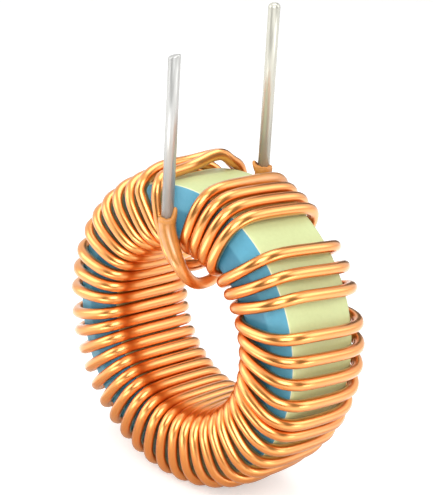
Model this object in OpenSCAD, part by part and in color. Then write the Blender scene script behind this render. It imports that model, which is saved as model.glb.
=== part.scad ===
// Toroidal inductor: a coated iron-powder ring wound with one enamelled copper wire.
// The ring stands upright with its axis along Y, its blue face towards -Y and its leads towards +Z.
// The origin is the centre of the ring.

/* [Core] */
// Outer diameter of the coated core
core_od = 20.2; // [19:0.1:22]
// Diameter of the hole in the core
core_id = 12.6; // [12.4:0.1:13.4]
// Thickness of the core along its axis
core_h = 6.35; // [5.5:0.05:7]
// Width of the slope round the outside of the core's front face
slope_width = 1.5; // [0.6:0.05:1.8]
// How far that slope falls back from the front face
slope_depth = 0.42; // [0.3:0.01:0.5]
// Radius of the core's outer edge at the front, below the slope
front_edge = 0.3; // [0.2:0.05:0.4]
// Radius of its outer edge at the back
back_edge = 0.5; // [0.3:0.05:0.8]
// Radius of its two edges in the hole
core_edge = 0.8; // [0.8:0.05:0.9]
// Depth of the blue coat, from the front face back
coat_depth = 0.42; // [0.1:0.02:0.6]

/* [Wire] */
// Diameter of the enamelled wire
wire_d = 0.8; // [0.6:0.01:0.8]
// Air between the wire and the core, where they lie closest
wire_lift = 0.05; // [0.05:0.01:0.1]
// How much further the turns stand off the front face
front_bow = 0.1; // [0.1:0.01:0.2]
// How much further they stand off the back face
back_bow = 0.5; // [0.3:0.01:0.6]
// How much further they stand off the rim
rim_bow = 0.2; // [0.2:0.01:0.3]
// How much further they stand off the core in the hole
hole_bow = 0.05; // [0.05:0.01:0.1]
// Radius of the wire's bends round the core's outer edges
outer_bend = 1.7; // [1.3:0.05:1.7]
// Radius of the wire's bends into the hole
hole_bend = 1.5; // [1.3:0.05:1.5]

/* [Leads] */
// Diameter of the tinned wire
lead_d = 0.8; // [0.6:0.01:0.9]
// Length of the rear lead
lead_len = 11; // [6:0.5:20]
// How much shorter the front lead is cut
front_trim = 0.35; // [0:0.05:1]
// Bevel round the tip of each lead
lead_bevel = 0.15; // [0.05:0.01:0.25]
// Diameter of the swollen enamel that each lead leaves
flare_d = 1.2; // [1:0.01:1.2]
// Length over which the enamel swells
flare_len = 4.5; // [1:0.1:5]
// Height of the front lead's foot above the ring's centre
front_foot_z = 8.39; // [8.3:0.01:8.6]
// Sideways place of the front lead
front_lead_x = -0.05; // [-0.1:0.01:0]
// Sideways place of the rear lead
rear_lead_x = 0.55; // [0.5:0.01:0.7]

/* [Hidden] */
$fn = 96;

core_r = core_od / 2;
hole_r = core_id / 2;
wire_r = wire_d / 2;
// Angle of the slope, and how far in front of the core's middle the edge below it has its centre
slope = atan(slope_depth / slope_width);
front_edge_y = core_h / 2 - (front_edge + (slope_width - front_edge) * sin(slope)) / cos(slope);

// Centreline of wire that lies close: inside the hole, on the rim and on either face
lay = wire_r + wire_lift;
bore_r = hole_r - lay;
rim_r = core_r + lay;
face_y = core_h / 2 + lay;
// Centreline of the bowed turns: in the hole, on the rim, on the front face and on the back face
turn_bore = bore_r - hole_bow;
turn_rim = rim_r + rim_bow;
turn_front = face_y + front_bow;
turn_back = face_y + back_bow;

// Angles are in degrees from +X, counted up towards +Z, about the ring's axis.
// The turns lie in runs. Each run: its turns, the angles of its first and last ones in the hole,
// their angles at the front of the rim, and how far they lean on the way to the back of the rim.
runs = [
    [4, 85.3, 60.7, 78.8, 61.8, 3],
    [3, 52.2, 35.3, 45.5, 29.5, 3.5],
    [5, 26.9, -6.9, 16, -17, 3.5],
    [20, -15.4, -176, -22, -170.5, 5],
    [3, -185, -203, -181, -198, 4.5],
    [6, -212.5, -259, -208.5, -249.5, 4.5]
];
// How far a turn leans as it crosses the hole
bore_lean = 3;
// How sharply a turn leans near the hole on the front face: 1 is a straight line
hole_crowding = 2;

// Facets round the wire, and stations along each bend on the rim and in the hole
wire_sides = 8;
rim_stations = 4;
hole_stations = 3;
spline_steps = 2;
// The facets stand a little outside the round wire, so that it keeps its cross-section
facet_growth = sqrt(2 * PI / (wire_sides * sin(360 / wire_sides)));

flare_r = flare_d / 2;
// Air between each swollen foot and its face; the front lead also leaves room for a tube over it
front_lead_air = 0.625;
rear_lead_air = 0.05;
front_lead_y = -core_h / 2 - front_lead_air - flare_r;
rear_lead_y = core_h / 2 + rear_lead_air + flare_r;
rear_foot_z = rim_r - 0.05;

// Radius of the layers of wire that hang under the first one in the hole
second_r = bore_r - 1.6 * wire_d;
third_r = bore_r - 2.4 * wire_d;

// The angles of each turn: in the hole, and at the front and the back of the rim
turns = [
    for (run = runs)
        for (i = [0:run[0] - 1])
            let (part = i / (run[0] - 1), front = run[3] + (run[4] - run[3]) * part)
                [run[1] + (run[2] - run[1]) * part, front, front - run[5]]
];
last_turn = len(turns) - 1;

// A place at radius r and angle a about the ring's axis, at y along it
function place(r, a, y) = [r * cos(a), y, r * sin(a)];

// The angle at radius r of a turn that crosses a face from its angle in the hole to its angle on the rim
function lean_at(r, hole_a, rim_a, crowding) =
    let (left = (turn_rim - r) / (turn_rim - turn_bore))
        rim_a + (hole_a - rim_a) * pow(max(0, left), crowding);

// One bend of a turn: its centre and radius, the angle that it starts from, and its stations.
// The stations between its ends stand out, so that the straight lengths between them keep off the core.
function bend_at(r, y, bend, from, stations, hole_a, rim_a, crowding) = [
    for (i = [0:stations - 1])
        let (
            turned = from + 90 * i / (stations - 1),
            reach = i == 0 || i == stations - 1 ? bend : bend / cos(45 / (stations - 1)),
            out = r + reach * cos(turned)
        )
            place(out, lean_at(out, hole_a, rim_a, crowding), y + reach * sin(turned))
];
function hole_corner(y, from, hole_a, rim_a, crowding) =
    bend_at(turn_bore + hole_bend, y, hole_bend, from, hole_stations, hole_a, rim_a, crowding);
function rim_corner(y, from, hole_a, rim_a, crowding) =
    bend_at(turn_rim - outer_bend, y, outer_bend, from, rim_stations, hole_a, rim_a, crowding);

// Across the front face from the hole to the rim, and across the back face from the rim to the hole
function hole_to_front(hole_a, rim_a) =
    hole_corner(hole_bend - turn_front, 180, hole_a, rim_a, hole_crowding);
function up_front(hole_a, rim_a) = concat(
    hole_to_front(hole_a, rim_a),
    rim_corner(outer_bend - turn_front, 270, hole_a, rim_a, hole_crowding)
);
function back_to_hole(rim_a, hole_a) =
    hole_corner(turn_back - hole_bend, 90, hole_a, rim_a, 1);
function down_back(rim_a, hole_a) = concat(
    rim_corner(turn_back - outer_bend, 0, hole_a, rim_a, 1),
    back_to_hole(rim_a, hole_a)
);

// A smooth curve through the points, by Catmull and Rom's rule, without its two end points
function curve_point(p, t) = (
    2 * p[1] + (p[2] - p[0]) * t
    + (2 * p[0] - 5 * p[1] + 4 * p[2] - p[3]) * t * t
    + (3 * p[1] - p[0] - 3 * p[2] + p[3]) * t * t * t
) / 2;
function curve(points) = [
    for (i = [1:len(points) - 3])
        for (k = [0:spline_steps - 1])
            curve_point([points[i - 1], points[i], points[i + 1], points[i + 2]], k / spline_steps)
];

// The start: down the back from the rear lead and into the hole
first_angle = turns[0][0] + bore_lean;
rear_foot = [rear_lead_x, rear_lead_y, rear_foot_z];
start_tail = curve([
    rear_foot + [0, 0, 1],
    rear_foot,
    rear_foot - [0, 0, 1],
    place(core_r - 2.2, 87.5, turn_back - 0.15),
    place(turn_bore + hole_bend, first_angle - 0.3, turn_back),
    place(turn_bore, first_angle, turn_back - hole_bend)
]);

// The turns that lie side by side, up to where the last of them leaves the front face
main_turns = [
    for (i = [0:last_turn])
        each concat(
            i < last_turn ? up_front(turns[i][0], turns[i][1]) : hole_to_front(turns[i][0], turns[i][1]),
            i < last_turn ? down_back(turns[i][2], turns[i + 1][0] + bore_lean) : []
        )
];

// It arches over the rim, comes down the back and goes under the others in the hole
first_arch = [
    place(rim_r - 2.1, 109.5, -turn_front),
    place(rim_r - 1.3, 110.4, -turn_front),
    place(rim_r - 0.75, 110.3, 0.05 - turn_front),
    place(rim_r - 0.33, 109.5, -3.5),
    place(rim_r + 0.16, 109, -2.9),
    place(rim_r + 0.4, 108.5, -2.2),
    place(rim_r + 0.5, 108.1, -1.5),
    place(rim_r + 0.46, 107.2, -0.3),
    place(rim_r + 0.46, 106.4, 0.5),
    place(rim_r + 0.5, 105.1, 1.2),
    place(rim_r + 0.56, 103.7, 1.9),
    place(rim_r + 0.55, 102.8, 2.6),
    place(rim_r + 0.41, 102.1, 3),
    place(rim_r + 0.07, 102.3, 3.4),
    place(rim_r - 0.38, 102.5, 3.85),
    place(rim_r - 0.85, 102.5, 4.3),
    place(rim_r - 2.5, 102, 4.5),
    place(hole_r + 0.6, 101.6, 4.8),
    place(bore_r + 0.05, 101.7, 4.52),
    place(second_r + 0.33, 101.7, 3.85),
    place(second_r - 0.27, 101.2, 2.7),
    place(second_r - 0.14, 97, 0.5),
    place(second_r - 0.15, 90.7, -1.3),
    place(second_r + 0.14, 89, -2.6)
];

// The last turn comes up in front of the others, arches beside that one and comes down the back
last_arch = [
    place(second_r + 0.36, 90.5, -3.4),
    place(bore_r + 0.08, 94.2, -3.85),
    place(hole_r + 0.34, 95.7, -3.9),
    place(hole_r + 0.93, 98.5, -3.8),
    place(rim_r - 2.65, 100.3, -3.75),
    place(rim_r - 2.05, 100.8, -turn_front),
    place(rim_r - 1.3, 101, -turn_front),
    place(rim_r - 0.6, 100.8, -3.6),
    place(rim_r - 0.09, 101.7, -3.1),
    place(rim_r + 0.03, 102.5, -2.5),
    place(rim_r + 0.1, 102.6, -1.2),
    place(rim_r + 0.18, 102.3, -0.3),
    place(rim_r + 0.35, 101.4, 0.5),
    place(rim_r + 0.62, 100, 1.2),
    place(rim_r + 0.7, 98.7, 1.9),
    place(rim_r + 0.5, 97.9, 2.3),
    place(rim_r + 0.13, 97.6, 2.7),
    place(rim_r - 0.2, 97.5, 3.28),
    place(rim_r - 0.71, 97.5, 3.65),
    place(rim_r - 2.5, 97.3, 3.85),
    place(hole_r + 0.7, 96.8, 3.95),
    place(bore_r + 0.15, 96.9, 3.8),
    place(bore_r - 0.55, 96, 3.2)
];

// Its end passes the hole under both and hooks up in front, to the front lead
front_foot = [front_lead_x, front_lead_y, front_foot_z];
hook = [
    place(second_r + 0.33, 92.5, 2.4),
    place(third_r + 0.47, 85, 1),
    place(third_r + 0.07, 78, -0.4),
    place(third_r - 0.04, 72.8, -1.2),
    place(third_r + 0.03, 71.2, -1.8),
    place(third_r + 0.11, 70.6, -2.7),
    place(third_r + 0.55, 72.2, -3.5),
    place(third_r + 1.23, 75.3, -4.15),
    place(bore_r, 79.4, front_lead_y - 0.08),
    place(bore_r + 0.59, 83.7, front_lead_y - 0.1),
    place(hole_r + 0.94, 88.2, front_lead_y - 0.1),
    place(hole_r + 1.5, 89.9, front_lead_y - 0.04),
    front_foot - [0, 0, 0.25],
    front_foot
];

route = concat(
    start_tail,
    back_to_hole(first_angle, first_angle),
    main_turns,
    curve(concat(first_arch, last_arch, hook, [front_foot + [0, 0, 1]])),
    [front_foot]
);
last_station = len(route) - 1;
hook_start = last_station - spline_steps * len(hook);

// The enamel swells towards the foot of each lead
function swell(p, foot) = wire_r + (flare_r - wire_r) * max(0, 1 - norm(p - foot) / flare_len);
function radius_at(i) =
    i < len(start_tail) ? swell(route[i], rear_foot)
    : i > hook_start ? swell(route[i], front_foot)
    : wire_r;

function unit(v) = v / norm(v);
// The direction in which the angle about the ring's axis grows at point p
function around(p) = unit([-p[2], 0, p[0]]);
// The direction of the wire at station i; both feet are level
function ahead_at(i) =
    i == 0 ? [0, 0, -1]
    : i == last_station ? [0, 0, 1]
    : unit(route[i + 1] - route[i - 1]);

// One ring of points round the wire at station i
function wire_ring(i) =
    let (
        ahead = ahead_at(i),
        side = unit(around(route[i]) - (around(route[i]) * ahead) * ahead),
        out = cross(ahead, side),
        r = radius_at(i) * facet_growth
    )
    [
        for (k = [0:wire_sides - 1])
            let (turned = 360 * (k + 0.5) / wire_sides)
                route[i] + r * (cos(turned) * side + sin(turned) * out)
    ];

// The section of the core on one side of the axis, its front face at the top, with its rounded edges
module core_section() {
    flat = hole_r + core_edge;
    top = core_h / 2;
    polygon([
        [hole_r, core_edge - top],
        [flat, -top],
        [core_r - back_edge, -top],
        [core_r, back_edge - top],
        [core_r, front_edge_y],
        [core_r - front_edge * (1 - sin(slope)), front_edge_y + front_edge * cos(slope)],
        [core_r - slope_width, top],
        [flat, top],
        [hole_r, top - core_edge]
    ]);
    for (side = [-1, 1])
        translate([flat, side * (top - core_edge)])
            circle(r = core_edge);
    translate([core_r - back_edge, back_edge - top])
        circle(r = back_edge);
    translate([core_r - front_edge, front_edge_y])
        circle(r = front_edge);
}

// The slab of the core's section that is coated blue
module coated_slab() {
    translate([0, core_h / 2 - coat_depth])
        square([core_od, core_h]);
}

// Turns a section about the ring's axis
module ring_of() {
    rotate([90, 0, 0])
        rotate_extrude()
            children();
}

module core() {
    color("#e0e8b4")
        ring_of()
            difference() {
                core_section();
                coated_slab();
            }
}

module face_coat() {
    color("#5fb4d6")
        ring_of()
            intersection() {
                core_section();
                coated_slab();
            }
}

module winding() {
    sides = wire_sides;
    color("#e08a4c")
        polyhedron(
            points = [for (i = [0:last_station]) each wire_ring(i)],
            faces = concat(
                [[for (k = [0:sides - 1]) k]],
                [
                    for (i = [0:last_station - 1])
                        for (k = [0:sides - 1])
                            let (here = i * sides, there = here + sides, next = (k + 1) % sides)
                                each [
                                    [here + k, there + k, there + next],
                                    [here + k, there + next, here + next]
                                ]
                ],
                [[for (k = [sides - 1:-1:0]) last_station * sides + k]]
            )
        );
}

// A tinned end of the wire, standing on its foot
module lead(foot, long) {
    color("#d9d9d6")
        translate(foot) {
            cylinder(d = lead_d, h = long - lead_bevel);
            translate([0, 0, long - lead_bevel])
                cylinder(d1 = lead_d, d2 = lead_d - 2 * lead_bevel, h = lead_bevel);
        }
}

module lead_front() {
    lead(front_foot, lead_len - front_trim);
}

module lead_rear() {
    lead(rear_foot, lead_len);
}

core();
face_coat();
winding();
lead_front();
lead_rear();
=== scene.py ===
# A toroidal inductor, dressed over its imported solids: a coated ring core, one enamelled copper
# wire wound round it, and the wire's two tinned ends. All sizes are in metres, in the frame of
# the solids: the ring's axis lies along Y, its blue face looks towards -Y and the leads stand
# along +Z.
import math

import bmesh
import bpy
from mathutils import Matrix, Vector, noise


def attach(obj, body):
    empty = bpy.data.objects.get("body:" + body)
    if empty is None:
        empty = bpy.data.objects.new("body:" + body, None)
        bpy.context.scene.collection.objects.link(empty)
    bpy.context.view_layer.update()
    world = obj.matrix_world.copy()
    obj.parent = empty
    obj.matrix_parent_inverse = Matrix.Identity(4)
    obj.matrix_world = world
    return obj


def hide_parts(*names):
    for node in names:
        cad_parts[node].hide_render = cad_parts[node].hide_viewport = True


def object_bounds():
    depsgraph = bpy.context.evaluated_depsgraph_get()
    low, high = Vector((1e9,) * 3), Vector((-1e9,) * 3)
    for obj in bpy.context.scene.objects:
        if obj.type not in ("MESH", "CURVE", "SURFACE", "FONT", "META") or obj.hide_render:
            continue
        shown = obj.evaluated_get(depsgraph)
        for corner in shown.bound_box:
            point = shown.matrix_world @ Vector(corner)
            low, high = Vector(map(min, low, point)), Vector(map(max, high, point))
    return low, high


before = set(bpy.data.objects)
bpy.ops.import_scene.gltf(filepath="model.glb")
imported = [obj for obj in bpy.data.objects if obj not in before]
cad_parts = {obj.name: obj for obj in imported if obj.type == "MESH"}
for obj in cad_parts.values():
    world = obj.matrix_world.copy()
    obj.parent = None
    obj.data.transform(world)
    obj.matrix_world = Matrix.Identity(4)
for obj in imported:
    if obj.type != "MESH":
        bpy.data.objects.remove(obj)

bl_info = {
    "name": "Toroidal inductor",
    "version": (1, 0, 0),
    "blender": (4, 5, 0),
    "location": "View3D > Sidebar > Inductor",
    "description": "Builds a toroidal inductor: coated ring, copper winding and tinned leads",
    "category": "Object",
}

MM = 0.001
CAD_LOW, CAD_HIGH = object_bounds()


# ---------------------------------------------------------------- sizes and colours

def colour(name, text, default):
    return bpy.props.FloatVectorProperty(
        name=name, description=text, subtype="COLOR", size=3, min=0, max=1, default=default)


def length(name, text, default):
    return bpy.props.FloatProperty(
        name=name, description=text, unit="LENGTH", precision=5, min=0, default=default)


def power(name, text, default):
    return bpy.props.FloatProperty(
        name=name, description=text, unit="POWER", precision=4, min=0, default=default)


class InductorCore(bpy.types.PropertyGroup):
    outer_diameter: length("Outer diameter", "Outer diameter of the coated ring", 20.2 * MM)
    hole_diameter: length("Hole diameter", "Diameter of the hole in the ring", 12.6 * MM)
    height: length("Height", "Thickness of the ring along its axis", 6.35 * MM)
    slope_width: length("Slope width", "Width of the slope round the outside of the front face", 1.5 * MM)
    slope_depth: length("Slope depth", "How far that slope falls back", 0.42 * MM)
    front_edge: length("Front edge", "Radius of the ring's outer edge below the slope", 0.3 * MM)
    back_edge: length("Back edge", "Radius of the ring's outer edge at the back", 0.5 * MM)
    edge: length("Hole edges", "Radius of the ring's two edges in the hole", 0.8 * MM)
    coat_depth: length("Blue depth", "How far the blue coat reaches back from the front face", 0.42 * MM)
    green: colour("Ring colour", "Colour of the ring's coat", (0.59, 0.67, 0.33))
    blue: colour("Face colour", "Colour of the coat on the front face", (0.055, 0.24, 0.365))
    # a painted highlight: the face's outer band is painted paler for the light that falls on its slope
    blue_painted_highlight: colour("Face border", "Colour of the thinner coat along the outer edge", (0.11, 0.375, 0.52))


class InductorWire(bpy.types.PropertyGroup):
    diameter: length("Wire diameter", "Diameter of the wire over its enamel", 0.8 * MM)
    lift: length("Lift", "Air between the wire and the core where they lie closest", 0.05 * MM)
    front_bow: length("Front bow", "How much further the turns stand off the front face", 0.1 * MM)
    back_bow: length("Back bow", "How much further the turns stand off the back face", 0.5 * MM)
    rim_bow: length("Rim bow", "How much further the turns stand off the rim", 0.2 * MM)
    hole_bow: length("Hole bow", "How much further the turns stand off the core in the hole", 0.05 * MM)
    outer_bend: length("Outer bend", "Radius of the bends round the outer edges", 1.7 * MM)
    hole_bend: length("Hole bend", "Radius of the bends into the hole", 1.5 * MM)
    flare_diameter: length("Flare", "Diameter of the swollen enamel at each lead", 1.2 * MM)
    flare_length: length("Flare length", "Length over which the enamel swells", 4.5 * MM)
    copper: colour("Copper colour", "Colour of the enamelled copper", (0.88, 0.36, 0.072))
    burnt: colour("Burnt enamel", "Colour of the scorched enamel at the leads", (0.68, 0.27, 0.05))


class InductorLeads(bpy.types.PropertyGroup):
    diameter: length("Lead diameter", "Diameter of the tinned wire", 0.8 * MM)
    length: length("Lead length", "Length of the rear lead", 11 * MM)
    trim: length("Front trim", "How much shorter the front lead is cut", 0.35 * MM)
    trim_slant: length("Front slant", "How much the cut tip of the front lead slants", 0.22 * MM)
    front_bevel: length("Front bevel", "Bevel round the cut tip of the front lead", 0.12 * MM)
    rear_bevel: length("Rear bevel", "Bevel round the tip of the rear lead", 0.3 * MM)
    tin: colour("Front tin", "Colour of the front lead", (0.6, 0.6, 0.58))
    warm_tin: colour("Rear tin", "Colour of the rear lead", (0.63, 0.62, 0.54))


class InductorStage(bpy.types.PropertyGroup):
    floor: colour("Floor colour", "Colour of the floor", (0.9, 0.9, 0.9))
    key: power("Key light", "Power of the large lamp at the front right", 0.34)
    fill: power("Fill light", "Power of the large lamp at the front left", 0.14)
    rim: power("Rim light", "Power of the lamp behind, at the right", 0.08)
    side: power("Side light", "Power of the small low lamp at the right", 0.004)
    low: power("Low light", "Power of the small lamp just over the floor at the front", 0.002)
    top: power("Top light", "Power of the lamp overhead", 0.16)
    world: bpy.props.FloatProperty(
        name="World light", description="Strength of the light from all round", min=0, default=0.5)


# ---------------------------------------------------------------- node helpers

def node(tree, kind, **settings):
    """A new node, with its settings."""
    made = tree.nodes.new(kind)
    for name, value in settings.items():
        setattr(made, name, value)
    return made


def link(tree, source, target):
    tree.links.new(source, target)


def fresh_material(name):
    """A new material, its node tree and its shader."""
    mat = bpy.data.materials.new(name)
    mat.use_nodes = True
    return mat, mat.node_tree, mat.node_tree.nodes["Principled BSDF"]


def mottle_group():
    """Soft and fine irregularity of a surface, as masks from 0 to 1."""
    found = bpy.data.node_groups.get("surface_mottle")
    if found:
        return found
    tree = bpy.data.node_groups.new("surface_mottle", "ShaderNodeTree")
    face = tree.interface
    face.new_socket("Vector", in_out="INPUT", socket_type="NodeSocketVector")
    for name, default in (("Soft scale", 300.0), ("Fine scale", 2500.0)):
        face.new_socket(name, in_out="INPUT", socket_type="NodeSocketFloat").default_value = default
    for name in ("Soft", "Fine"):
        face.new_socket(name, in_out="OUTPUT", socket_type="NodeSocketFloat")
    inputs, outputs = node(tree, "NodeGroupInput"), node(tree, "NodeGroupOutput")
    for name, scale, detail in (("Soft", "Soft scale", 3.0), ("Fine", "Fine scale", 5.0)):
        cloud = node(tree, "ShaderNodeTexNoise")
        cloud.inputs["Detail"].default_value = detail
        # the noise mostly stays between these two values
        spread = node(tree, "ShaderNodeMapRange")
        spread.inputs["From Min"].default_value = 0.3
        spread.inputs["From Max"].default_value = 0.7
        link(tree, inputs.outputs["Vector"], cloud.inputs["Vector"])
        link(tree, inputs.outputs[scale], cloud.inputs["Scale"])
        link(tree, cloud.outputs["Fac"], spread.inputs["Value"])
        link(tree, spread.outputs["Result"], outputs.inputs[name])
    return tree


def mottle(tree, soft, fine, stretch=(1, 1, 1)):
    """Places the mottle group in a material, on the object's own coordinates."""
    where = node(tree, "ShaderNodeTexCoord")
    turn = node(tree, "ShaderNodeMapping")
    turn.inputs["Scale"].default_value = stretch
    made = node(tree, "ShaderNodeGroup", node_tree=mottle_group())
    made.inputs["Soft scale"].default_value = soft
    made.inputs["Fine scale"].default_value = fine
    link(tree, where.outputs["Object"], turn.inputs["Vector"])
    link(tree, turn.outputs["Vector"], made.inputs["Vector"])
    return made


def blend_colours(tree, mask, first, second):
    """A colour between two, by a mask."""
    mix = node(tree, "ShaderNodeMix", data_type="RGBA")
    for socket, value in ((mix.inputs[6], first), (mix.inputs[7], second)):
        if isinstance(value, bpy.types.NodeSocket):
            link(tree, value, socket)
        else:
            socket.default_value = (*value, 1)
    link(tree, mask, mix.inputs[0])
    return mix.outputs[2]


def span(tree, mask, low, high):
    """A value between two, by a mask."""
    made = node(tree, "ShaderNodeMapRange")
    made.inputs["To Min"].default_value = low
    made.inputs["To Max"].default_value = high
    link(tree, mask, made.inputs["Value"])
    return made.outputs["Result"]


def roughen(tree, shader, mask, strength, distance):
    """A bump from a mask."""
    bump = node(tree, "ShaderNodeBump")
    bump.inputs["Strength"].default_value = strength
    bump.inputs["Distance"].default_value = distance
    link(tree, mask, bump.inputs["Height"])
    link(tree, bump.outputs["Normal"], shader.inputs["Normal"])


def shown(tree):
    """1 where a surface is seen, by the camera, in a reflection or through glass."""
    path = node(tree, "ShaderNodeLightPath")
    total = None
    for name in ("Is Camera Ray", "Is Glossy Ray", "Is Transmission Ray"):
        if total is None:
            total = path.outputs[name]
            continue
        more = node(tree, "ShaderNodeMath", operation="MAXIMUM")
        link(tree, total, more.inputs[0])
        link(tree, path.outputs[name], more.inputs[1])
        total = more.outputs[0]
    return total


def tone(rgb, share):
    """A darker or lighter tone of a colour."""
    return tuple(min(1, c * share) for c in rgb)


def lean(rgb, other, share):
    """A colour that leans towards another one."""
    return tuple(a + (b - a) * share for a, b in zip(rgb, other))


# ---------------------------------------------------------------- finishes

GREEN_CLOUD = (0.69, 0.74, 0.42)
BLUE_CLOUD = (0.12, 0.42, 0.58)
# painted highlight along the ring's corner behind the blue coat
PAINTED_CORNER_HIGHLIGHT = (0.80, 0.82, 0.56)
LIGHT_SCORCH = (0.9, 0.42, 0.12)
DEEP_ENAMEL = (0.95, 0.82, 0.7)   # shares of the copper's colour where the enamel lies thick


def past(tree, value, start, end):
    """A mask that grows from 0 to 1 as a value goes from start to end."""
    made = node(tree, "ShaderNodeMapRange", interpolation_type="SMOOTHSTEP")
    made.inputs["From Min"].default_value = start
    made.inputs["From Max"].default_value = end
    link(tree, value, made.inputs["Value"])
    return made.outputs["Result"]


def ring_place(tree, measure):
    """Where a point of the ring lies: its distance from the axis ("across") or its place "along" it."""
    where = node(tree, "ShaderNodeTexCoord")
    if measure == "along":
        split = node(tree, "ShaderNodeSeparateXYZ")
        link(tree, where.outputs["Object"], split.inputs[0])
        return split.outputs["Y"]
    flat = node(tree, "ShaderNodeVectorMath", operation="MULTIPLY")
    flat.inputs[1].default_value = (1, 0, 1)
    link(tree, where.outputs["Object"], flat.inputs[0])
    away = node(tree, "ShaderNodeVectorMath", operation="LENGTH")
    link(tree, flat.outputs["Vector"], away.inputs[0])
    return away.outputs["Value"]


def ring_coat(name, rgb, cloud, rough, border, measure, start, end):
    """Baked coat on the ring: faint clouds, fine grain, and a painted highlight, a paler band that
    comes in from start to end, measured across the ring or along its axis."""
    mat, tree, shader = fresh_material(name)
    made = mottle(tree, 260, 3800)
    # where the painted highlight band lies
    edge = past(tree, ring_place(tree, measure), start, end)
    coated = blend_colours(tree, edge, rgb, border)
    clouded = blend_colours(tree, span(tree, made.outputs["Soft"], 0, 0.2), coated, cloud)
    base = blend_colours(tree, span(tree, made.outputs["Fine"], 0, 0.1), clouded, tone(rgb, 0.6))
    link(tree, base, shader.inputs["Base Color"])
    link(tree, span(tree, made.outputs["Fine"], *rough), shader.inputs["Roughness"])
    shader.inputs["Specular IOR Level"].default_value = 0.25
    shader.inputs["Coat Weight"].default_value = 0.08
    shader.inputs["Coat Roughness"].default_value = 0.3
    roughen(tree, shader, made.outputs["Fine"], 0.25, 0.02 * MM)
    return mat


def copper_finish(rgb, scorched):
    """Enamelled copper: bright metal under a clear amber enamel, scorched matt towards the leads."""
    mat, tree, shader = fresh_material("enamelled_copper")
    made = mottle(tree, 260, 1800)
    deep = tuple(c * share for c, share in zip(rgb, DEEP_ENAMEL))
    metal = blend_colours(tree, made.outputs["Soft"], rgb, deep)
    heat = node(tree, "ShaderNodeAttribute", attribute_name="scorch").outputs["Fac"]
    dull = blend_colours(tree, made.outputs["Fine"], scorched, tone(scorched, 0.8))
    link(tree, blend_colours(tree, heat, metal, dull), shader.inputs["Base Color"])
    polish = span(tree, made.outputs["Fine"], 0.28, 0.31)
    # the scorched enamel is rougher, and hides the metal
    matt = node(tree, "ShaderNodeMix", data_type="FLOAT")
    matt.inputs[3].default_value = 0.42
    link(tree, heat, matt.inputs[0])
    link(tree, polish, matt.inputs[2])
    link(tree, matt.outputs[0], shader.inputs["Roughness"])
    link(tree, span(tree, heat, 1.0, 0.25), shader.inputs["Metallic"])
    shader.inputs["Coat Weight"].default_value = 1.0
    shader.inputs["Coat Roughness"].default_value = 0.2
    shader.inputs["Coat IOR"].default_value = 1.65
    return mat


def burnt_finish(rgb):
    """Scorched enamel where the wire was stripped and tinned."""
    mat, tree, shader = fresh_material("burnt_enamel")
    made = mottle(tree, 1500, 5200)
    base = blend_colours(tree, made.outputs["Soft"], lean(rgb, LIGHT_SCORCH, 0.15), tone(rgb, 0.7))
    link(tree, base, shader.inputs["Base Color"])
    link(tree, span(tree, made.outputs["Fine"], 0.3, 0.6), shader.inputs["Roughness"])
    roughen(tree, shader, made.outputs["Soft"], 0.4, 0.05 * MM)
    return mat


def tin_finish(name, rgb):
    """Dipped tin, with long soft streaks down the lead."""
    mat, tree, shader = fresh_material(name)
    made = mottle(tree, 1500, 2400, stretch=(1, 1, 0.05))
    base = blend_colours(tree, made.outputs["Soft"], rgb, tone(rgb, 0.7))
    link(tree, base, shader.inputs["Base Color"])
    link(tree, span(tree, made.outputs["Soft"], 0.22, 0.3), shader.inputs["Roughness"])
    shader.inputs["Metallic"].default_value = 0.45
    roughen(tree, shader, made.outputs["Fine"], 0.25, 0.05 * MM)
    return mat


# ---------------------------------------------------------------- the wire's route

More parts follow.
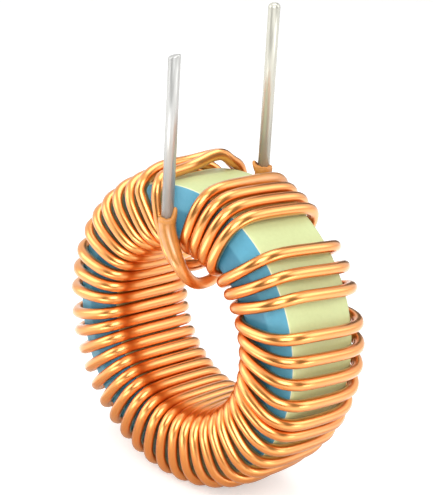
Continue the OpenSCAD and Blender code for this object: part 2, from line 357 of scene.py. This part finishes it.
class Route:
    """The wire's centreline, by the rules that the solids follow, in millimetres and degrees."""

    # each run of turns: how many, the first and last angle in the hole, the first and last angle
    # at the front of the rim, and the turns' slant over the rim
    RUNS = [
        (4, 85.3, 60.7, 78.8, 61.8, 3),
        (3, 52.2, 35.3, 45.5, 29.5, 3.5),
        (5, 26.9, -6.9, 16, -17, 3.5),
        (20, -15.4, -176, -22, -170.5, 5),
        (3, -185, -203, -181, -198, 4.5),
        (6, -212.5, -259, -208.5, -249.5, 4.5),
    ]
    BORE_LEAN = 3       # slant of the turns in the hole
    CROWDING = 2        # a turn's lean on the front grows towards the hole by this power
    ARC = 9             # stations along a bend
    STRAIGHT = 6        # steps between two bends
    CURVE = 5           # steps between two given points
    LEAST_STEP = 0.04   # stations that lie closer are left out
    EASING = 9          # rounds that take out the kinks
    # the leads' feet: their place across, the air between the core's face and the swollen wire,
    # and how high they start
    REAR_LEAD_X, REAR_LEAD_AIR, REAR_FOOT_DROP = 0.55, 0.05, 0.05
    FRONT_LEAD_X, FRONT_LEAD_AIR, FRONT_FOOT_Z = -0.05, 0.625, 8.39
    ENDS = 40           # only the first and last of this many shares of the wire can swell

    def __init__(self, core, wire):
        thick = wire.diameter / MM
        lay = thick / 2 + wire.lift / MM
        self.core_r = core.outer_diameter / 2 / MM
        self.hole_r = core.hole_diameter / 2 / MM
        half = core.height / 2 / MM
        self.bore_r = self.hole_r - lay
        self.rim_r = self.core_r + lay
        self.turn_bore = self.bore_r - wire.hole_bow / MM
        self.turn_rim = self.rim_r + wire.rim_bow / MM
        self.turn_front = half + lay + wire.front_bow / MM
        self.turn_back = half + lay + wire.back_bow / MM
        self.outer_bend = wire.outer_bend / MM
        self.hole_bend = wire.hole_bend / MM
        # the second and third layer in the hole
        self.second_r = self.bore_r - 1.6 * thick
        self.third_r = self.bore_r - 2.4 * thick
        out = half + wire.flare_diameter / 2 / MM
        self.rear_foot = Vector(
            (self.REAR_LEAD_X, out + self.REAR_LEAD_AIR, self.rim_r - self.REAR_FOOT_DROP))
        self.front_foot = Vector((self.FRONT_LEAD_X, -out - self.FRONT_LEAD_AIR, self.FRONT_FOOT_Z))

    @staticmethod
    def place(r, angle, y):
        """A place by its distance from the ring's axis, its angle round it and its y."""
        a = math.radians(angle)
        return Vector((r * math.cos(a), y, r * math.sin(a)))

    def lean_at(self, r, hole, rim, crowding):
        """A turn's angle at a radius, between its angles at the rim and in the hole."""
        left = (self.turn_rim - r) / (self.turn_rim - self.turn_bore)
        return rim + (hole - rim) * max(0, left) ** crowding

    def bend(self, r, y, size, start, hole, rim, crowding):
        """Stations of radius, angle and y round a quarter bend about r and y."""
        made = []
        for i in range(self.ARC):
            turned = math.radians(start + 90 * i / (self.ARC - 1))
            out = r + size * math.cos(turned)
            made.append((out, self.lean_at(out, hole, rim, crowding), y + size * math.sin(turned)))
        return made

    def between(self, a, b, law=None):
        """Stations between two bends; law gives the angle at a radius."""
        made = []
        for i in range(1, self.STRAIGHT):
            t = i / self.STRAIGHT
            r = a[0] + (b[0] - a[0]) * t
            angle = law(r) if law else a[1] + (b[1] - a[1]) * t
            made.append((r, angle, a[2] + (b[2] - a[2]) * t))
        return made

    def hole_corner(self, y, start, hole, rim, crowding):
        """The bend round one of the core's edges in the hole."""
        return self.bend(self.turn_bore + self.hole_bend, y, self.hole_bend, start, hole, rim, crowding)

    def rim_corner(self, y, start, hole, rim, crowding):
        """The bend round one of the core's outer edges."""
        return self.bend(self.turn_rim - self.outer_bend, y, self.outer_bend, start, hole, rim, crowding)

    def turns(self):
        """Each turn's angle in the hole, and at the front and the back of the rim."""
        made = []
        for count, hole_a, hole_b, rim_a, rim_b, slant in self.RUNS:
            for i in range(count):
                part = i / (count - 1)
                front = rim_a + (rim_b - rim_a) * part
                made.append((hole_a + (hole_b - hole_a) * part, front, front - slant))
        return made

    def wound(self):
        """The turns that lie side by side, as stations of radius, angle and y."""
        turns = self.turns()
        first = turns[0][0] + self.BORE_LEAN
        path = self.hole_corner(self.turn_back - self.hole_bend, 90, first, first, 1)
        for i, (hole, front, back) in enumerate(turns):
            corner = self.hole_corner(self.hole_bend - self.turn_front, 180, hole, front, self.CROWDING)
            path += self.between(path[-1], corner[0]) + corner
            if i == len(turns) - 1:
                break
            corner = self.rim_corner(self.outer_bend - self.turn_front, 270, hole, front, self.CROWDING)
            path += self.between(path[-1], corner[0],
                                 lambda r: self.lean_at(r, hole, front, self.CROWDING)) + corner
            after = turns[i + 1][0] + self.BORE_LEAN
            corner = self.rim_corner(self.turn_back - self.outer_bend, 0, after, back, 1)
            path += self.between(path[-1], corner[0]) + corner
            corner = self.hole_corner(self.turn_back - self.hole_bend, 90, after, back, 1)
            path += self.between(path[-1], corner[0],
                                 lambda r: self.lean_at(r, after, back, 1)) + corner
        return [self.place(*station) for station in path]

    def start(self):
        """The rear lead's foot and the way from there to the first turn."""
        first = self.turns()[0][0] + self.BORE_LEAN
        up = Vector((0, 0, 1))
        return [
            self.rear_foot + up,
            self.rear_foot,
            self.rear_foot - up,
            self.place(self.core_r - 2.2, 87.5, self.turn_back - 0.15),
            self.place(self.turn_bore + self.hole_bend, first - 0.3, self.turn_back),
            self.place(self.turn_bore, first, self.turn_back - self.hole_bend),
        ]

    def loose(self):
        """The last turn but one, the last turn and the hook, which lie over the others."""
        rim, hole, bore = self.rim_r, self.hole_r, self.bore_r
        second, third, front = self.second_r, self.third_r, self.turn_front
        lead = self.front_foot.y
        polar = [
            (rim - 2.1, 109.5, -front), (rim - 1.3, 110.4, -front), (rim - 0.75, 110.3, 0.05 - front),
            (rim - 0.33, 109.5, -3.5), (rim + 0.16, 109, -2.9), (rim + 0.4, 108.5, -2.2),
            (rim + 0.5, 108.1, -1.5), (rim + 0.46, 107.2, -0.3), (rim + 0.46, 106.4, 0.5),
            (rim + 0.5, 105.1, 1.2), (rim + 0.56, 103.7, 1.9), (rim + 0.55, 102.8, 2.6),
            (rim + 0.41, 102.1, 3), (rim + 0.07, 102.3, 3.4), (rim - 0.38, 102.5, 3.85),
            (rim - 0.85, 102.5, 4.3), (rim - 2.5, 102, 4.5), (hole + 0.6, 101.6, 4.8),
            (bore + 0.05, 101.7, 4.52), (second + 0.33, 101.7, 3.85), (second - 0.27, 101.2, 2.7),
            (second - 0.14, 97, 0.5), (second - 0.15, 90.7, -1.3), (second + 0.14, 89, -2.6),
            (second + 0.36, 90.5, -3.4), (bore + 0.08, 94.2, -3.85), (hole + 0.34, 95.7, -3.9),
            (hole + 0.93, 98.5, -3.8), (rim - 2.65, 100.3, -3.75), (rim - 2.05, 100.8, -front),
            (rim - 1.3, 101, -front), (rim - 0.6, 100.8, -3.6), (rim - 0.09, 101.7, -3.1),
            (rim + 0.03, 102.5, -2.5), (rim + 0.1, 102.6, -1.2), (rim + 0.18, 102.3, -0.3),
            (rim + 0.35, 101.4, 0.5), (rim + 0.62, 100, 1.2), (rim + 0.7, 98.7, 1.9),
            (rim + 0.5, 97.9, 2.3), (rim + 0.13, 97.6, 2.7), (rim - 0.2, 97.5, 3.28),
            (rim - 0.71, 97.5, 3.65), (rim - 2.5, 97.3, 3.85), (hole + 0.7, 96.8, 3.95),
            (bore + 0.15, 96.9, 3.8), (bore - 0.55, 96, 3.2), (second + 0.33, 92.5, 2.4),
            (third + 0.47, 85, 1), (third + 0.07, 78, -0.4), (third - 0.04, 72.8, -1.2),
            (third + 0.03, 71.2, -1.8), (third + 0.11, 70.6, -2.7), (third + 0.55, 72.2, -3.5),
            (third + 1.23, 75.3, -4.15), (bore, 79.4, lead - 0.08), (bore + 0.59, 83.7, lead - 0.1),
            (hole + 0.94, 88.2, lead - 0.1), (hole + 1.5, 89.9, lead - 0.04),
        ]
        up = Vector((0, 0, 1))
        return [self.place(*p) for p in polar] + [
            self.front_foot - 0.25 * up, self.front_foot, self.front_foot + up]

    @staticmethod
    def curved(points, steps):
        """A smooth curve through the points, without its two end points."""
        made = []
        for a, b, c, d in zip(points, points[1:], points[2:], points[3:]):
            for k in range(steps):
                t = k / steps
                made.append((2 * b + (c - a) * t + (2 * a - 5 * b + 4 * c - d) * t * t
                             + (3 * b - a - 3 * c + d) * t ** 3) / 2)
        return made

    @staticmethod
    def eased(path, rounds):
        """Takes the kinks out of a path of close stations."""
        for _ in range(rounds):
            path = [path[0]] + [
                (a + 2 * b + c) / 4 for a, b, c in zip(path, path[1:], path[2:])] + [path[-1]]
        return path

    def whole(self):
        """The whole wire, from the rear lead's foot to the front lead's."""
        path = self.curved(self.start(), self.CURVE) + self.wound() + self.curved(self.loose(), self.CURVE)
        path.append(self.front_foot.copy())
        kept = [path[0]]
        for p in path[1:]:
            if (p - kept[-1]).length > self.LEAST_STEP:
                kept.append(p)
        kept[-1] = self.front_foot.copy()
        return self.eased(kept, self.EASING)

    def nearness(self, path, reach):
        """How near each station lies to its lead's foot: 1 at the foot, 0 from reach on."""
        tail = len(path) // self.ENDS
        made = []
        for i, p in enumerate(path):
            if i < tail:
                made.append(max(0, 1 - (p - self.rear_foot).length / reach))
            elif i > len(path) - tail:
                made.append(max(0, 1 - (p - self.front_foot).length / reach))
            else:
                made.append(0)
        return made


# ---------------------------------------------------------------- pieces

RING_AXIS, LEAD_AXIS = (0, 1, 0), (0, 0, 1)
RING_STEPS, TUBE_STEPS = 240, 48   # faces round the ring, and round a lead or collar


def mesh_of(bm, name, material):
    """Turns a bmesh into a mesh with one material."""
    mesh = bpy.data.meshes.new(name)
    bm.to_mesh(mesh)
    bm.free()
    mesh.materials.append(material)
    return mesh


def stand(name, mesh):
    """Puts a mesh in the scene."""
    made = bpy.data.objects.new(name, mesh)
    bpy.context.collection.objects.link(made)
    return made


def shade_smooth(mesh):
    for face in mesh.polygons:
        face.use_smooth = True


def piece_from(bm, name, material, slot, *nodes):
    bm.normal_update()
    mesh = mesh_of(bm, name, material)
    shade_smooth(mesh)
    made = stand(name, mesh)
    declare(made, slot, *nodes)
    return made


def declare(piece, slot, *nodes):
    """Says what a piece rides on and which nodes it stands for; the slot is not used."""
    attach(piece, "root")
    if nodes:
        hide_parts(*nodes)


def spun(points, steps, axis, closed=False):
    """A line of points spun once round an axis through the origin."""
    bm = bmesh.new()
    verts = [bm.verts.new(p) for p in points]
    edges = [bm.edges.new(pair) for pair in zip(verts, verts[1:])]
    if closed:
        edges.append(bm.edges.new((verts[-1], verts[0])))
    bmesh.ops.spin(bm, geom=verts + edges, cent=(0, 0, 0), axis=axis,
                   angle=math.tau, steps=steps, use_merge=True)
    bmesh.ops.remove_doubles(bm, verts=bm.verts, dist=1e-7)
    bmesh.ops.recalc_face_normals(bm, faces=bm.faces)
    return bm


def arc(x, y, radius, start, end, steps=8):
    """Points along an arc, in degrees."""
    made = []
    for i in range(steps + 1):
        a = math.radians(start + (end - start) * i / steps)
        made.append((x + radius * math.cos(a), y + radius * math.sin(a)))
    return made


def front_line(core, skin, depth_at_hole, depth_at_rim, flat_steps=5, slope_steps=4):
    """The section's front from the hole to the rim: distance from the axis, and distance forward.
    It starts and ends at the given depths behind the front face, and lies a skin outside it."""
    outer, hole = core.outer_diameter / 2, core.hole_diameter / 2
    half, edge, low = core.height / 2, core.edge, core.front_edge
    slope = math.atan2(core.slope_depth, core.slope_width)
    centre = half - (low + (core.slope_width - low) * math.sin(slope)) / math.cos(slope)
    # where the flat face folds into the slope, and how far the fold is softened
    fold, soft = outer - core.slope_width, 0.14 * MM
    start = math.degrees(math.acos(max(0, edge - depth_at_hole) / edge))
    end = math.degrees(math.asin(max(0, half - depth_at_rim - centre) / low))
    points = arc(hole + edge, half - edge, edge + skin, 90 + start, 90)
    for i in range(1, flat_steps + 1):
        points.append((hole + edge + (fold - soft - hole - edge) * i / flat_steps, half + skin))
    after = (fold + soft * math.cos(slope), half + skin - soft * math.sin(slope))
    corner = arc(outer - low, centre, low + skin, 90 - math.degrees(slope), end, 6)
    for i in range(slope_steps):
        points.append(tuple(a + (b - a) * i / slope_steps for a, b in zip(after, corner[0])))
    return points + corner


class INDUCTOR_OT_ring(bpy.types.Operator):
    """Make the ring core under its coat"""
    bl_idname = "inductor.ring"
    bl_label = "Ring core"

    def execute(self, context):
        core = context.scene.inductor_core
        outer, hole, half = core.outer_diameter / 2, core.hole_diameter / 2, core.height / 2
        line = front_line(core, 0, core.edge, half)
        line += arc(outer - core.back_edge, core.back_edge - half, core.back_edge, 0, -90)
        line += arc(hole + core.edge, core.edge - half, core.edge, -90, -180)
        bm = spun([(r, -forward, 0) for r, forward in line], RING_STEPS, RING_AXIS, closed=True)
        # a painted highlight: a pale line along the ring's corner just behind the blue coat
        seam = core.coat_depth - half
        finish = ring_coat("ring_coat", core.green, GREEN_CLOUD, (0.38, 0.52), PAINTED_CORNER_HIGHLIGHT,
                           "along", seam + 0.08 * MM, seam + 0.03 * MM)
        piece_from(bm, "ring_core", finish, "core_coat", "core")
        return {"FINISHED"}


class INDUCTOR_OT_face(bpy.types.Operator):
    """Make the blue coat on the ring's front face"""
    bl_idname = "inductor.face"
    bl_label = "Blue face"
    SKIN = 0.012 * MM
    WALL = 0.02 * MM

    def execute(self, context):
        core = context.scene.inductor_core
        outer = core.outer_diameter / 2
        line = front_line(core, self.SKIN, core.coat_depth, core.coat_depth)
        bm = spun([(r, -forward, 0) for r, forward in line], RING_STEPS, RING_AXIS)
        # a painted highlight: the coat is painted paler from the fold outwards, for the light that falls on
        # the slope
        fold = outer - core.slope_width
        finish = ring_coat("blue_coat", core.blue, BLUE_CLOUD, (0.3, 0.44), core.blue_painted_highlight,
                           "across", fold - 0.15 * MM, fold + 0.1 * MM)
        made = piece_from(bm, "blue_coat", finish, "blue_coat", "face_coat")
        wall = made.modifiers.new("thickness", "SOLIDIFY")
        wall.thickness = self.WALL
        wall.offset = -1
        return {"FINISHED"}


class INDUCTOR_OT_winding(bpy.types.Operator):
    """Wind the enamelled wire round the ring"""
    bl_idname = "inductor.winding"
    bl_label = "Winding"
    SCORCH = 1.6   # the enamel is fully scorched well before the foot

    def execute(self, context):
        core, wire = context.scene.inductor_core, context.scene.inductor_wire
        route = Route(core, wire)
        path = route.whole()
        curve = bpy.data.curves.new("winding_route", "CURVE")
        curve.dimensions = "3D"
        curve.bevel_depth = wire.diameter / 2
        curve.bevel_resolution = 6
        curve.use_fill_caps = True
        spline = curve.splines.new("POLY")
        spline.points.add(len(path) - 1)
        swollen = wire.flare_diameter / wire.diameter - 1
        nearness = route.nearness(path, wire.flare_length / MM)
        for point, p, near in zip(spline.points, path, nearness):
            point.co = (*(p * MM), 1)
            point.radius = 1 + swollen * near
        rope = stand("winding_route", curve)
        context.view_layer.update()
        mesh = bpy.data.meshes.new_from_object(rope.evaluated_get(context.evaluated_depsgraph_get()))
        bpy.data.objects.remove(rope)
        mesh.name = "copper_winding"
        around = len(mesh.vertices) // len(path)
        scorch = mesh.attributes.new("scorch", "FLOAT", "POINT")
        for i, point in enumerate(scorch.data):
            near = nearness[min(i // around, len(path) - 1)]
            point.value = min(1, self.SCORCH * near)
        shade_smooth(mesh)
        mesh.materials.clear()
        mesh.materials.append(copper_finish(wire.copper, wire.burnt))
        declare(stand("copper_winding", mesh), "enamelled_copper", "winding")
        return {"FINISHED"}


class INDUCTOR_OT_leads(bpy.types.Operator):
    """Make the two tinned leads"""
    bl_idname = "inductor.leads"
    bl_label = "Tinned leads"

    def execute(self, context):
        leads = context.scene.inductor_leads
        route = Route(context.scene.inductor_core, context.scene.inductor_wire)
        radius = leads.diameter / 2
        # each: name, foot, length, bevel of the tip, slant of the tip, colour, node
        for name, foot, long, bevel, slant, rgb, cad in (
                ("front_lead", route.front_foot, leads.length - leads.trim, leads.front_bevel,
                 leads.trim_slant, leads.tin, "lead_front"),
                ("rear_lead", route.rear_foot, leads.length, leads.rear_bevel,
                 0, leads.warm_tin, "lead_rear")):
            tip = [(x, 0, z) for x, z in arc(radius - bevel, long - bevel, bevel, 0, 90)]
            bm = spun([(0, 0, 0), (radius, 0, 0)] + tip + [(0, 0, long)], TUBE_STEPS, LEAD_AXIS)
            # the cut tip falls off towards the front left
            for v in bm.verts:
                if v.co.z > long - 2 * bevel:
                    v.co.z -= slant * (0.5 - (0.7 * v.co.x + 0.7 * v.co.y) / leads.diameter)
            bmesh.ops.translate(bm, verts=bm.verts, vec=foot * MM)
            piece_from(bm, name, tin_finish(name.replace("lead", "tin"), rgb), "tinned_wire", cad)
        return {"FINISHED"}


class INDUCTOR_OT_collars(bpy.types.Operator):
    """Make the ragged ends of the enamel round the leads' feet"""
    bl_idname = "inductor.collars"
    bl_label = "Enamel collars"
    # the end of the swollen enamel, as shares of its radius and heights over the foot
    PROFILE = ((0.8, 0.02 * MM), (0.95, -0.04 * MM), (1, -0.14 * MM), (0.99, -0.28 * MM),
               (0.93, -0.45 * MM), (0.8, -0.6 * MM))
    SHARPNESS = 6         # of the torn tongue
    RAGGEDNESS = 2.5      # how often the edge goes up and down
    TORN = 0.5 * MM       # the height over which the tear fades out

    def execute(self, context):
        wire = context.scene.inductor_wire
        route = Route(context.scene.inductor_core, wire)
        burnt = burnt_finish(wire.burnt)
        inner = wire.diameter / 2 - 0.02 * MM
        outer = wire.flare_diameter / 2 + 0.005 * MM
        profile = [(inner, 0, 0)] + [(outer * share, 0, high) for share, high in self.PROFILE]
        # each: name, foot, direction of the torn tongue, its height, how far it stands out, and
        # the height of the edge elsewhere
        for name, foot, facing, tongue, out, rest in (
                ("front_collar", route.front_foot, 35, 0.75 * MM, 0.04 * MM, 0.06 * MM),
                ("rear_collar", route.rear_foot, 225, 0.3 * MM, 0.22 * MM, 0.1 * MM)):
            bm = spun(profile, TUBE_STEPS, LEAD_AXIS)
            middle = math.radians(facing)
            for v in bm.verts:
                a = math.atan2(v.co.y, v.co.x)
                near = max(0, math.cos(a - middle)) ** self.SHARPNESS
                ragged = noise.noise(
                    Vector((math.cos(a) * self.RAGGEDNESS, math.sin(a) * self.RAGGEDNESS, foot.z)))
                share = min(1, max(0, 1 + v.co.z / self.TORN))
                v.co.z += (rest * (0.5 + ragged) + (tongue - rest) * near) * share
                v.co.x += math.cos(middle) * out * near * share
                v.co.y += math.sin(middle) * out * near * share
            bmesh.ops.translate(bm, verts=bm.verts, vec=foot * MM)
            piece_from(bm, name, burnt, "enamelled_copper")
        return {"FINISHED"}


# ---------------------------------------------------------------- the studio

def card(name, rgb):
    """Matt paper of a card."""
    mat, _, shader = fresh_material(name)
    shader.inputs["Base Color"].default_value = (*rgb, 1)
    shader.inputs["Roughness"].default_value = 0.9
    return mat


def sheet(wide, deep):
    """A flat sheet round the origin."""
    bm = bmesh.new()
    bmesh.ops.create_grid(bm, x_segments=1, y_segments=1, size=0.5)
    bmesh.ops.scale(bm, verts=bm.verts, vec=(wide, deep, 1))
    return bm


def stand_card(name, bm, paper):
    """Stands a card that only reflections show."""
    flag = stand(name, mesh_of(bm, name, paper))
    flag.visible_camera = False
    flag.visible_shadow = False
    flag.visible_diffuse = False


class INDUCTOR_OT_stage(bpy.types.Operator):
    """Set up the floor, the lamps, the cards and the camera"""
    bl_idname = "inductor.stage"
    bl_label = "Stage"
    FLOOR_WIDTH = 3
    FLOOR_LIFT = 0.35   # makes the floor white where it is seen, and lights nothing

    def execute(self, context):
        stage = context.scene.inductor_stage
        self.lay_floor(stage)
        self.hang_lamps(stage)
        self.stand_flags()
        self.light_world(context.scene, stage)
        self.place_camera(context.scene)
        context.scene.view_settings.view_transform = "Standard"
        return {"FINISHED"}

    def lay_floor(self, stage):
        bm = sheet(self.FLOOR_WIDTH, self.FLOOR_WIDTH)
        bmesh.ops.translate(bm, verts=bm.verts, vec=(0, 0, CAD_LOW.z))
        paper = card("floor_paper", stage.floor)
        tree = paper.node_tree
        shader = tree.nodes["Principled BSDF"]
        shader.inputs["Specular IOR Level"].default_value = 0.1
        shader.inputs["Emission Color"].default_value = (1, 1, 1, 1)
        lift = node(tree, "ShaderNodeMath", operation="MULTIPLY")
        lift.inputs[1].default_value = self.FLOOR_LIFT
        link(tree, shown(tree), lift.inputs[0])
        link(tree, lift.outputs[0], shader.inputs["Emission Strength"])
        floor = stand("floor", mesh_of(bm, "floor", paper))

    @staticmethod
    def hang_lamps(stage):
        # each: name, watts, size, where it hangs; all shine at the middle of the ring
        for name, watts, size, where in (
                ("key_lamp", stage.key, 0.15, (0.13, -0.15, 0.13)),
                ("fill_lamp", stage.fill, 0.14, (-0.13, -0.13, 0.08)),
                ("rim_lamp", stage.rim, 0.12, (0.13, 0.13, 0.11)),
                ("side_lamp", stage.side, 0.02, (0.058, 0.014, -0.004)),
                ("low_lamp", stage.low, 0.014, (-0.003, -0.023, -0.0095)),
                ("top_lamp", stage.top, 0.14, (0.0, 0.03, 0.2))):
            lamp = bpy.data.lights.new(name, "AREA")
            lamp.shape = "SQUARE"
            lamp.size = size
            lamp.energy = watts
            made = stand(name, lamp)
            made.location = where
            made.rotation_euler = (-Vector(where)).to_track_quat("-Z", "Y").to_euler()

    @staticmethod
    def stand_flags():
        """Cards round the ring, which give the bright metal its darker reflections."""
        grey = card("grey_card", (0.11, 0.11, 0.11))
        # each: name, direction from the front, distance, width, height
        for name, facing, away, wide, high in (
                ("left_flag", 5, 0.05, 0.032, 0.06),
                ("low_flag", 22, 0.045, 0.06, 0.016),
                ("right_flag", 92, 0.2, 0.14, 0.3),
                ("back_flag", 205, 0.2, 0.1, 0.3)):
            bm = sheet(wide, high)
            bmesh.ops.rotate(bm, verts=bm.verts, matrix=Matrix.Rotation(math.radians(90), 3, "X"))
            bmesh.ops.translate(bm, verts=bm.verts, vec=(0, -away, high / 2 + CAD_LOW.z))
            bmesh.ops.rotate(bm, verts=bm.verts, matrix=Matrix.Rotation(math.radians(facing), 3, "Z"))
            stand_card(name, bm, grey)

        # a warmer one lies just over the floor, under the ring
        bm = sheet(0.032, 0.032)
        bmesh.ops.translate(bm, verts=bm.verts, vec=(0, -0.004, CAD_LOW.z + 0.2 * MM))
        stand_card("under_flag", bm, card("pale_card", (0.7, 0.6, 0.5)))

    @staticmethod
    def light_world(scene, stage):
        world = bpy.data.worlds.new("studio")
        world.use_nodes = True
        scene.world = world
        tree = world.node_tree
        sky = tree.nodes["Background"]
        sky.inputs["Color"].default_value = (1, 1, 1, 1)
        # white where it is seen, and dimmer as a light
        link(tree, span(tree, shown(tree), stage.world, 1), sky.inputs["Strength"])

    @staticmethod
    def place_camera(scene):
        azimuth, elevation, roll = (math.radians(a) for a in (43.408, 19.908, 3.274))
        right = Vector((math.cos(azimuth), math.sin(azimuth), 0))
        back = Vector((math.sin(azimuth) * math.cos(elevation),
                       -math.cos(azimuth) * math.cos(elevation), math.sin(elevation)))
        up = back.cross(right)
        x = right * math.cos(roll) + up * math.sin(roll)
        y = up * math.cos(roll) - right * math.sin(roll)
        lens = bpy.data.cameras.new("camera")
        lens.sensor_width = 36
        lens.lens = 107.04
        lens.clip_start = 0.005
        lens.clip_end = 10
        # from the middle of the ring: across and up in the picture, and back
        across, above, away = 0.54 * MM, 5.03 * MM, 100 * MM
        made = stand("camera", lens)
        made.matrix_world = Matrix.Translation(x * across + y * above + back * away) @ Matrix(
            (x, y, back)).transposed().to_4x4()
        scene.camera = made


# ---------------------------------------------------------------- the add-on

class INDUCTOR_PT_panel(bpy.types.Panel):
    """Sizes, colours and pieces of the inductor"""
    bl_idname = "INDUCTOR_PT_panel"
    bl_label = "Toroidal inductor"
    bl_space_type = "VIEW_3D"
    bl_region_type = "UI"
    bl_category = "Inductor"

    def draw(self, context):
        for name in GROUPS:
            group = getattr(context.scene, name)
            box = self.layout.box()
            for prop in group.bl_rna.properties.keys():
                if prop not in ("rna_type", "name"):
                    box.prop(group, prop)
        for operator in OPERATORS:
            self.layout.operator(operator.bl_idname)


GROUPS = {
    "inductor_core": InductorCore,
    "inductor_wire": InductorWire,
    "inductor_leads": InductorLeads,
    "inductor_stage": InductorStage,
}
OPERATORS = (
    INDUCTOR_OT_ring,
    INDUCTOR_OT_face,
    INDUCTOR_OT_winding,
    INDUCTOR_OT_leads,
    INDUCTOR_OT_collars,
    INDUCTOR_OT_stage,
)


def register():
    for name, group in GROUPS.items():
        bpy.utils.register_class(group)
        setattr(bpy.types.Scene, name, bpy.props.PointerProperty(type=group))
    for operator in OPERATORS:
        bpy.utils.register_class(operator)
    bpy.utils.register_class(INDUCTOR_PT_panel)


def unregister():
    bpy.utils.unregister_class(INDUCTOR_PT_panel)
    for operator in reversed(OPERATORS):
        bpy.utils.unregister_class(operator)
    for name, group in GROUPS.items():
        delattr(bpy.types.Scene, name)
        bpy.utils.unregister_class(group)


def main():
    register()
    bpy.ops.inductor.ring()
    bpy.ops.inductor.face()
    bpy.ops.inductor.winding()
    bpy.ops.inductor.leads()
    bpy.ops.inductor.collars()
    bpy.ops.inductor.stage()
    bpy.context.view_layer.update()


if __name__ == "__main__":
    main()
